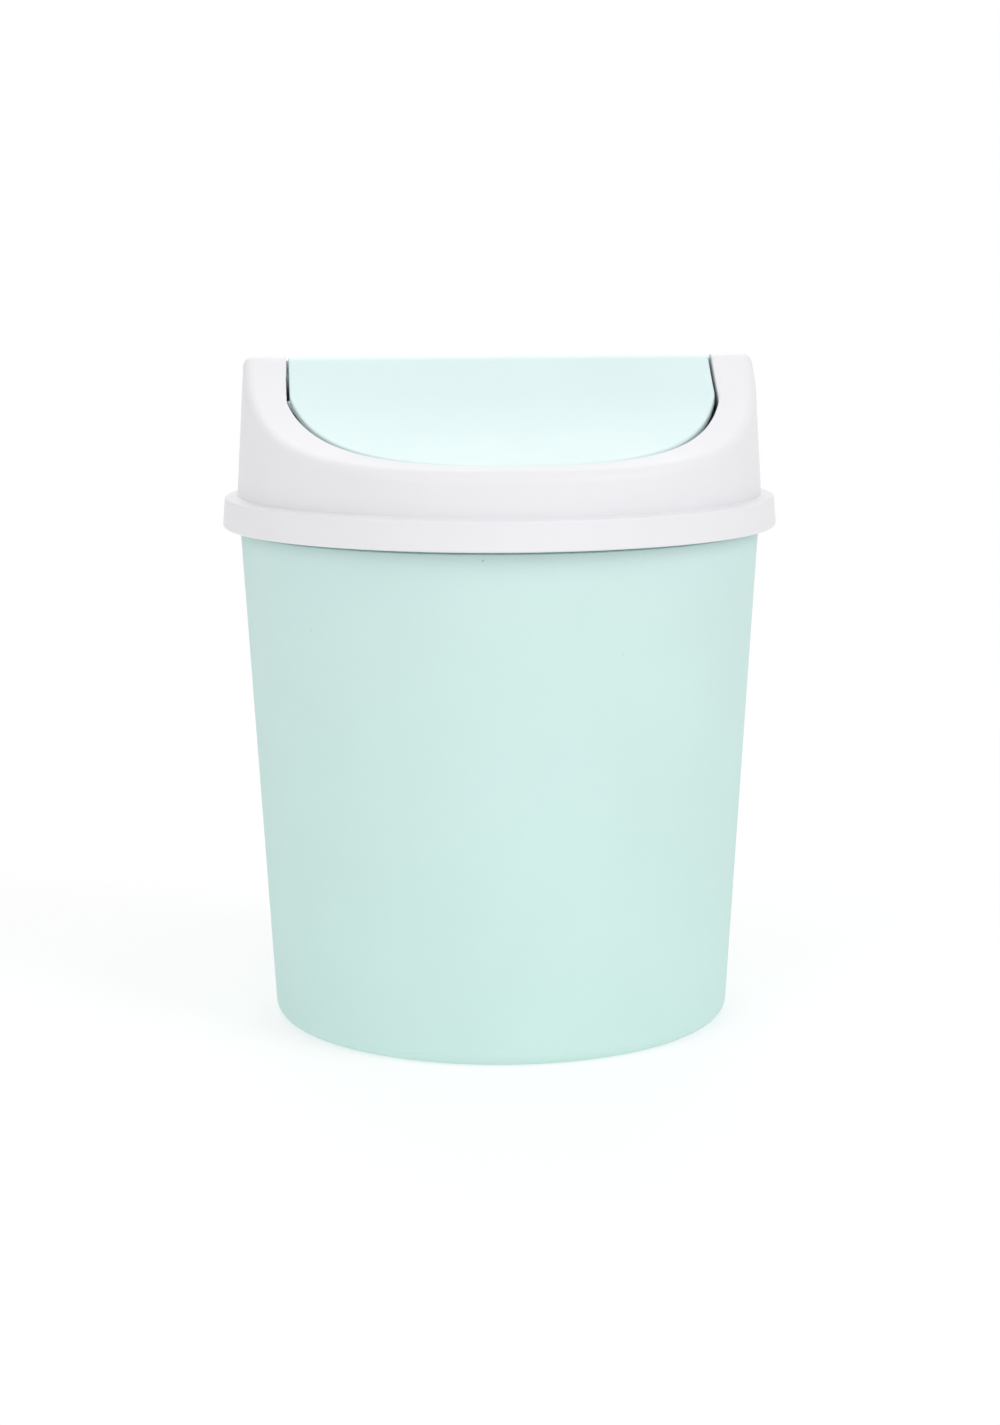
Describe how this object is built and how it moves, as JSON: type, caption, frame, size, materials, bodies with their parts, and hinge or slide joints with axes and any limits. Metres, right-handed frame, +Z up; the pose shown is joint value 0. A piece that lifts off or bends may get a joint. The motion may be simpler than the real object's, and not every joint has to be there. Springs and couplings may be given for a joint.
{
  "type": "desk wastebasket",
  "caption": "Round tapered desk wastebasket with a lift-off collar lid and a tent-shaped flap that swings on pins in the collar.",
  "frame": {"origin": "centre of the foot, on the surface that the bucket stands on", "axes": "+Z up along the bucket's axis, -Y towards the front of the lid, X along the flap's ridge and pivot pins"},
  "size_m": [0.15, 0.15, 0.181],
  "materials": {
    "mint_plastic": "satin moulded",
    "white_plastic": "satin moulded"
  },
  "bodies": {
    "bucket": {"bucket": "mint_plastic"},
    "collar": {"collar": "white_plastic"},
    "flap": {"swing_flap": "mint_plastic"}
  },
  "joints": [
    {"name": "collar_lift", "type": "slide", "parent": "bucket", "child": "collar", "axis": [0, 0, 1], "range_m": [0, 0.08]},
    {"name": "flap_swing", "type": "hinge", "parent": "collar", "child": "flap", "pos_m": [0, 0, 0.173], "axis": [1, 0, 0], "range_deg": [-80, 80]}
  ]
}
